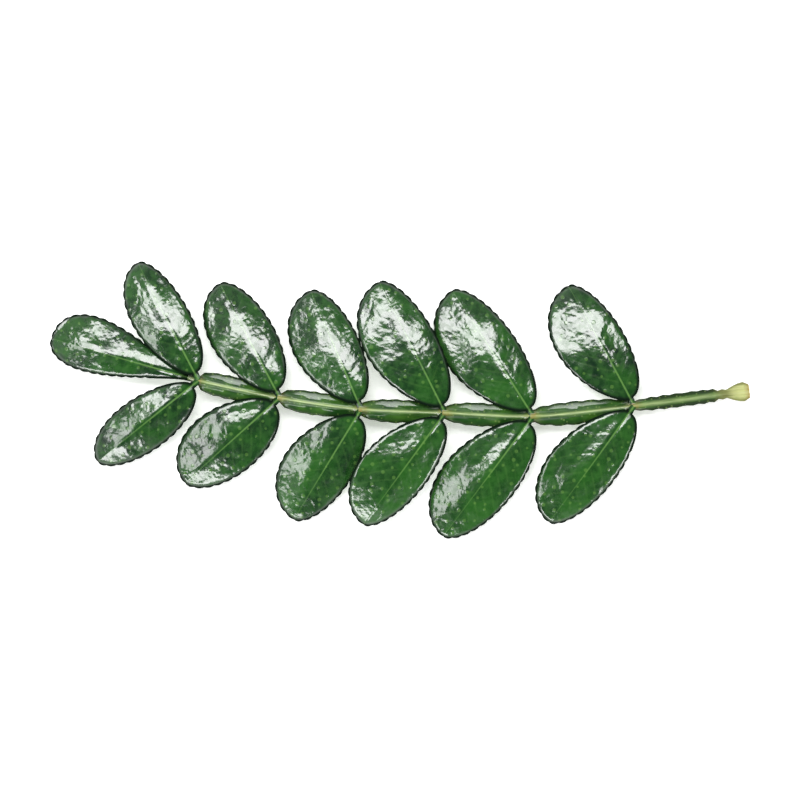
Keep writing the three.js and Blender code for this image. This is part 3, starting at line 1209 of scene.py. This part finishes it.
    def close_ends(self, piece: Piece, skin: Material, cut: Material) -> None:
        """Dishes the cut face, gives it its finish and turns every face outwards.

        Args:
            piece: the rachis.
            skin: the finish of its outside.
            cut: the finish of its cut face.
        """
        mesh = piece.data
        mesh.materials.append(skin)
        mesh.materials.append(cut)
        weld(piece)
        bpy.ops.mesh.normals_make_consistent(inside=False)
        bpy.ops.mesh.select_all(action="DESELECT")
        bpy.ops.object.mode_set(mode="OBJECT")
        face = max((f for f in mesh.polygons if len(f.vertices) > 4), key=lambda f: f.center.x)
        face.select = True
        face.material_index = 1
        bpy.ops.object.mode_set(mode="EDIT")
        bpy.ops.mesh.select_mode(type="FACE")
        for thickness, depth in self.cut_steps:
            bpy.ops.mesh.inset(thickness=thickness * MM, depth=depth * MM)
        bpy.ops.mesh.select_mode(type="VERT")
        bpy.ops.object.mode_set(mode="OBJECT")
        bpy.ops.object.shade_smooth_by_angle(angle=math.radians(self.smooth_angle))


UPPER_FORMS = (
    LeafletForm(13.65, 118.4, 4.4, 2.55, 0.68, 0.92, 0.03, 2, 0.7, 0.7, tip_curl=0.35),
    LeafletForm(14.95, 122.5, 4.65, 2.75, 0.68, 0.85, 0.03, 20, 1.0, 1.15, tip_curl=0.23),
    LeafletForm(14.65, 116.6, 4.6, 2.65, 1.7, 1.15, 0.07, 11, 1.15, 0.8),
    LeafletForm(12.85, 113.1, 4.2, 2.55, 0.71, 0.75, 0.07, 73, 1.3, 0.7),
    LeafletForm(12.9, 117.9, 3.75, 2.75, 0.68, 0.8, 0.035, 73, 0.9, 0.9, wave_height=0.1),
    LeafletForm(13.3, 117.7, 3.4, 2.35, 1.2, 0.85, 0.05, 55, 0.85, 0.7, 0.27, wave_height=0.11, lift=0.75),
)
LOWER_FORMS = (
    LeafletForm(14.4, 234.1, 4.1, 2.8, 0.68, 0.97, 0.065, 49, 1.0, 1.1, lift=0.7),
    LeafletForm(15.05, 233.4, 4.35, 3.15, 0.68, 0.83, 0.01, 49, tip_camber=1.25, wave_height=0.12),
    LeafletForm(13.8, 233.8, 4.2, 2.65, 2.1, 1.2, 0.17, 44, 0.95, 1.1, tip_curl=0.27),
    LeafletForm(12.9, 238.6, 4.3, 2.8, 0.71, 0.57, 0.1, 45, tip_camber=1.35, wave_height=0.12),
    LeafletForm(12.75, 221.7, 4.0, 3.2, 0.67, 0.77, 0.05, 46, tip_camber=0.95),
    LeafletForm(13.0, 218.5, 2.85, 2.7, 1.0, 0.77, 0.055, 42, tip_curl=0.23, lift=0.75),
)
END_FORM = LeafletForm(
    15.1, 164.2, 2.35, 3.5, 0.7, 0.85, -0.015, 37, 1.1, 1.05, 0.35,
    lift=0.0, offset=1.3, tip_shape=(0.74, 0.45), stem_shape=(0.74, 0.45),
)


@dataclass
class Sprig:
    """The whole sprig: the rachis, its six pairs of leaflets and the end leaflet."""

    effects: SharedEffects
    rachis: Rachis = field(default_factory=Rachis)

    def leaflet(self, node: str, form: LeafletForm, number: int, tip_left: bool) -> Leaflet:
        """One leaflet at its place on the rachis.

        Args:
            node: the solid's node.
            form: its driving sizes.
            number: the joint it grows from, counted from the cut end.
            tip_left: whether its tip side is on the left, seen from its base.

        Returns:
            The leaflet, not built yet.
        """
        margins = (
            HalfMargin(form.length, form.tip_half, *form.tip_shape, form.tip_camber),
            HalfMargin(form.length, form.stem_half, *form.stem_shape, form.stem_camber),
        )
        left, right = margins if tip_left else margins[::-1]
        climb = form.roll if tip_left else -form.roll
        return Leaflet(node, form, self.rachis.node_place(number), left, right, climb)

    def leaflets(self) -> list[Leaflet]:
        """Every leaflet, from the cut end to the tip.

        Returns:
            The leaflets, not built yet.
        """
        pairs = []
        for number, forms in enumerate(zip(UPPER_FORMS, LOWER_FORMS), start=1):
            for row, form in zip(Row, forms):
                node = f"leaflet_{row.value}_{number}"
                pairs.append(self.leaflet(node, form, number, row is Row.UPPER))
        return [*pairs, self.leaflet("terminal_leaflet", END_FORM, len(UPPER_FORMS), True)]

    def build(self) -> None:
        """Builds every piece, and says which solid each stands for."""
        upper = UPPER_FINISH.build(self.effects)
        under = UNDER_FINISH.build(self.effects)
        for leaflet in self.leaflets():
            piece = leaflet.build([upper, under, upper])
            stand_for(piece, leaflet.node)
        skin = RachisFinish().build(self.effects)
        piece = self.rachis.build(skin, CutFinish().build())
        stand_for(piece, "winged_rachis")


def stand_for(piece: Piece, node: str) -> None:
    """Makes a piece ride with the sprig in the place of one solid, and reports it.

    Args:
        piece: the finished piece.
        node: the solid's node.
    """
    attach(piece, BODY)
    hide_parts(node)
    corners = np.array([corner[:] for corner in piece.bound_box]) / MM
    solid = np.array(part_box(node)) / MM
    off = max(np.abs(corners.min(0) - solid[0]).max(), np.abs(corners.max(0) - solid[1]).max())
    faces = sum(len(face.vertices) - 2 for face in piece.data.polygons)
    LOG.info("%s for %s: %d triangles, box within %.2f mm of the solid's", piece.name, node, faces, off)


@dataclass(frozen=True)
class Softbox:
    """A rectangular light that faces the sprig.

    Its place and size are in metres, its shine is in watts from a square metre into a steradian, and its
    turn about the line to the sprig is in degrees.
    """

    name: str
    place: tuple[float, float, float]
    size: tuple[float, float]
    shine: float
    turn: float = 0.0

    def hang(self) -> None:
        """Adds the light to the scene."""
        light = bpy.data.lights.new(self.name, "AREA")
        light.shape = "RECTANGLE"
        light.size, light.size_y = self.size
        light.energy = self.shine * math.pi * self.size[0] * self.size[1]
        holder = bpy.data.objects.new(self.name, light)
        bpy.context.collection.objects.link(holder)
        holder.location = self.place
        aim = Vector(self.place).to_track_quat("Z", "Y")
        holder.rotation_euler = (aim @ Quaternion((0.0, 0.0, 1.0), math.radians(self.turn))).to_euler()


@dataclass
class Studio:
    """The pale floor, the soft lights and the camera that looks straight down."""

    softboxes: tuple[Softbox, ...] = (
        Softbox("softbox_far", (-0.1, 0.22, 0.48), (0.5, 0.22), 10.5, turn=-24.4),
        Softbox("softbox_left", (-0.40, -0.03, 0.40), (0.26, 0.12), 6.5),
        Softbox("strip_right", (0.36, -0.26, 0.235), (0.3, 0.06), 12.0),
        Softbox("strip_near", (-0.2, -0.34, 0.27), (0.38, 0.09), 10.5),
    )
    floor_half: float = 2.0
    camera_height: float = 0.36
    view_width: float = 0.0845
    sensor: float = 36.0

    def build_floor(self) -> None:
        """Lays the floor under the sprig."""
        bpy.ops.object.select_all(action="DESELECT")
        bpy.ops.mesh.primitive_plane_add(size=2 * self.floor_half)
        floor = begin_piece("floor")
        material, graph, shader = new_material("pale_floor")
        looks = {
            "Base Color": (0.86, 0.86, 0.865, 1.0),
            "Roughness": 0.9,
            "Specular IOR Level": 0.1,
            "Emission Color": (1.0, 1.0, 0.99, 1.0),
            "Emission Strength": 0.4,
        }
        graph.fill(shader, looks)
        floor.data.materials.append(material)

    def build_lights(self) -> None:
        """Sets the softboxes and the dim surroundings."""
        for softbox in self.softboxes:
            softbox.hang()
        world = bpy.data.worlds.new("studio")
        world.use_nodes = True
        graph = Graph(world.node_tree)
        way = graph.add("ShaderNodeTexCoord").outputs["Generated"]
        up = graph.add("ShaderNodeSeparateXYZ", {0: way}).outputs["Z"]
        looks = {"Color": (1.0, 1.0, 1.0, 1.0), "Strength": graph.ramp(up, 0.0, 0.75, 1.6, 0.06)}
        graph.fill(world.node_tree.nodes["Background"], looks)
        bpy.context.scene.world = world

    def build_camera(self) -> None:
        """Sets the camera straight above the sprig, with +X to the right."""
        camera = bpy.data.cameras.new("camera")
        camera.sensor_width = self.sensor
        camera.lens = self.sensor * self.camera_height / self.view_width
        camera.clip_start = 0.01
        holder = bpy.data.objects.new("camera", camera)
        bpy.context.collection.objects.link(holder)
        holder.location = (0.0, 0.0, self.camera_height)
        bpy.context.scene.camera = holder

    def build(self) -> None:
        """Builds the whole studio."""
        self.build_floor()
        self.build_lights()
        self.build_camera()
        bpy.context.scene.view_settings.view_transform = "Standard"


def main() -> None:
    """Builds the sprig and its studio."""
    logging.basicConfig(level=logging.INFO, format="%(name)s: %(message)s")
    Sprig(SharedEffects()).build()
    Studio().build()


if __name__ == "__main__":
    main()
